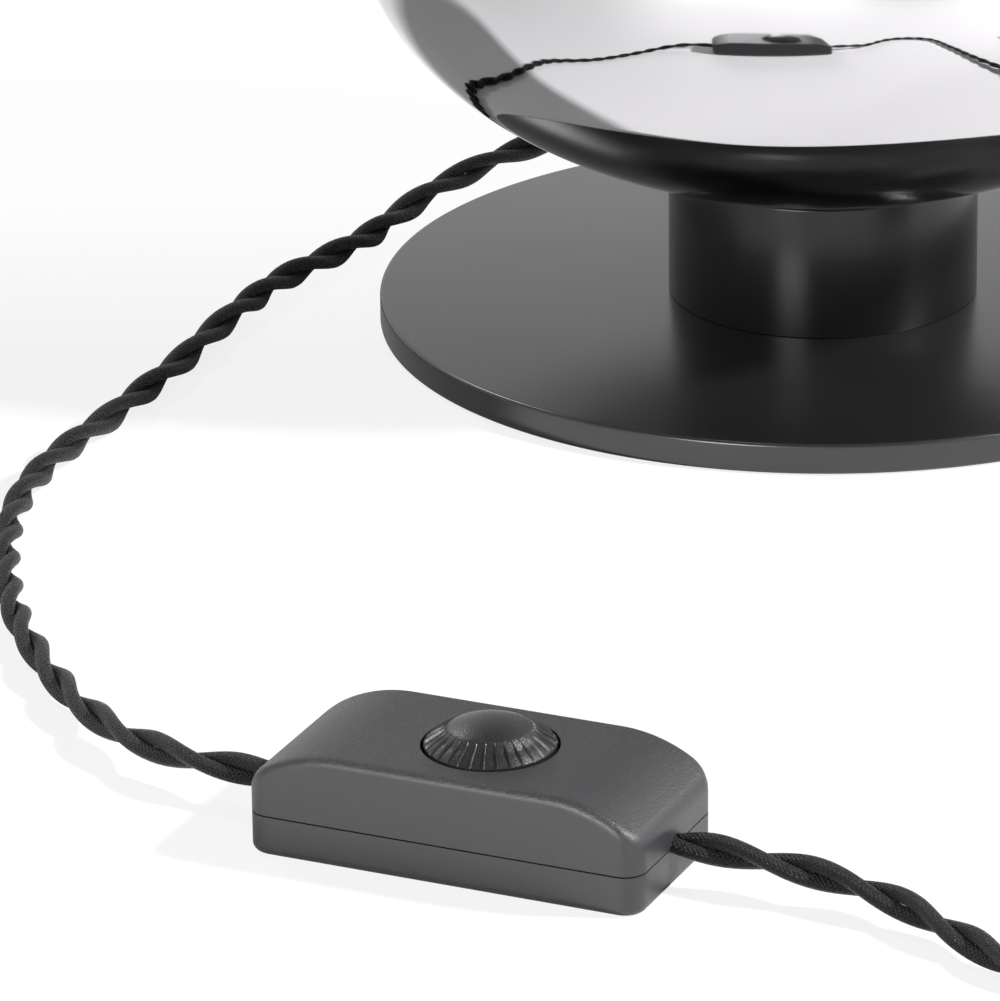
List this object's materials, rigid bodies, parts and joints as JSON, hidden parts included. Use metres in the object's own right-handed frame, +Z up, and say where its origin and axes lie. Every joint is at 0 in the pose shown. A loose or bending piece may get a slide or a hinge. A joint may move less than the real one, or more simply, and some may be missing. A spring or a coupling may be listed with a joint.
{
  "type": "table lamp",
  "caption": "Table lamp with a mirrored smoke-glass globe on a short black pedestal and flat disc base, twisted textile cord, rotary in-line dimmer and a flat plug",
  "frame": {"origin": "middle of the face the base stands on", "axes": "+Z up along the globe's axis, -Y towards the dimmer in front, +Y towards the cord exit at the back"},
  "size_m": [0.4062, 0.5002, 0.1862],
  "materials": {
    "black_metal": "satin black",
    "foam": "closed-cell foam",
    "steel": "plain",
    "silicone": "soft, matte",
    "black_plastic": "moulded",
    "brass": "plain",
    "ceramic": "glazed",
    "wire": "insulated",
    "mirror_glass": "smoke-chrome mirror coating",
    "bulb_glass": "clear",
    "cap_metal": "plain",
    "filament": "coated rods",
    "casing": "fine grained",
    "board": "circuit board",
    "component": "coated",
    "knob": "satin, ribbed",
    "cord": "braided textile, two strands twisted",
    "strap": "woven",
    "pin_metal": "plated"
  },
  "bodies": {
    "root": {"base_plate": "black_metal", "base_pad": "foam", "base_screws": "steel", "pedestal": "black_metal", "seat_ring": "silicone", "cord_sleeve": "black_plastic", "sleeve_nut": "steel", "holder_posts": "brass", "holder_body": "ceramic", "holder_screws": "steel", "screw_shell": "brass", "centre_contact": "brass", "holder_terminals": "brass", "terminal_screws": "steel", "inner_leads": "wire", "dimmer_top_shell": "casing", "dimmer_bottom_shell": "casing", "dimmer_board": "board", "potentiometer": "steel", "dimmer_capacitor": "component", "dimmer_choke": "component", "dimmer_triac": "black_plastic", "heat_sink": "cap_metal", "dimmer_terminals": "board", "dimmer_leads": "wire", "cord_clamps": "steel", "clamp_screws": "steel", "casing_screws": "steel", "cord_lamp_side": "cord", "cord_plug_side": "cord", "cord_coil": "cord", "coil_tie": "strap", "plug_body": "black_plastic", "plug_pins": "pin_metal"},
    "globe": {"globe_glass": "mirror_glass"},
    "bulb_tip": {"bulb_contact": "cap_metal"},
    "bulb": {"bulb_glass": "bulb_glass", "bulb_cap": "cap_metal", "bulb_insulator": "black_plastic", "bulb_stem": "bulb_glass", "bulb_filaments": "filament"},
    "knob": {"dimmer_knob": "knob", "pot_shaft": "steel"}
  },
  "joints": [
    {"name": "knob_turn", "type": "hinge", "parent": "root", "child": "knob", "pos_m": [-0.07581, -0.29449, 0.02], "axis": [0, 0, -1], "range_deg": [0, 270]},
    {"name": "globe_lift", "type": "slide", "parent": "root", "child": "globe", "axis": [0, 0, 1], "range_m": [0, 0.095]},
    {"name": "bulb_rise", "type": "slide", "parent": "root", "child": "bulb_tip", "axis": [0, 0, 1], "range_m": [0, 0.0218]},
    {"name": "bulb_turn", "type": "hinge", "parent": "bulb_tip", "child": "bulb", "pos_m": [0, 0, 0.045], "axis": [0, 0, 1], "range_deg": [0, 2160]}
  ],
  "couplings": [
    {"joint": "bulb_rise", "follows": "bulb_turn", "m_per_rad": 0.00057758}
  ]
}
